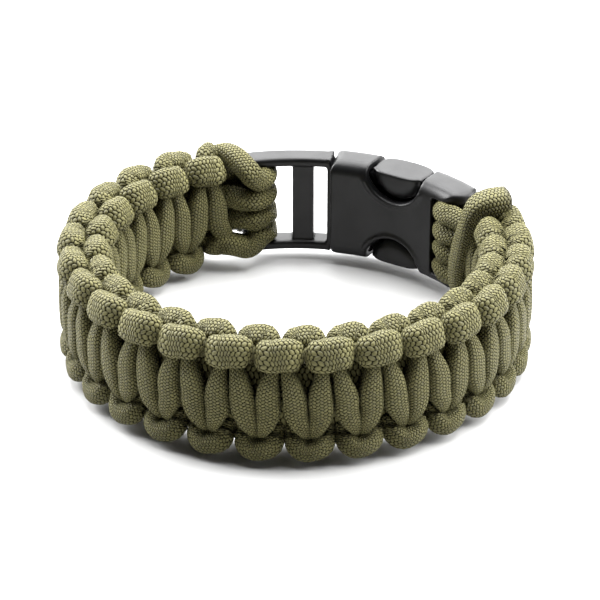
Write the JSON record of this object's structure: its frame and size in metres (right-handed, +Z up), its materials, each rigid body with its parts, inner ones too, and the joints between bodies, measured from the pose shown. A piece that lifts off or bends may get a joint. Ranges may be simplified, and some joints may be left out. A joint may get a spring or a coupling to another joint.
{
  "type": "paracord bracelet",
  "caption": "Woven cord bracelet in a flat cobra weave with two core cords, closed into a ring by a curved side-release buckle, lying on its side.",
  "frame": {"origin": "on the ring's axis, on the surface that the bracelet lies on", "axes": "+Z up along the ring's axis; the buckle is centred on +Y, with its prong half towards -X and its socket half towards +X"},
  "size_m": [0.0841, 0.0836, 0.0234],
  "materials": {
    "buckle": "satin",
    "cord": "braided nylon"
  },
  "bodies": {
    "root": {"buckle_male": "buckle", "buckle_female": "buckle", "core_upper": "cord", "core_lower": "cord", "weave_outer": "cord", "weave_inner": "cord"}
  },
  "joints": []
}
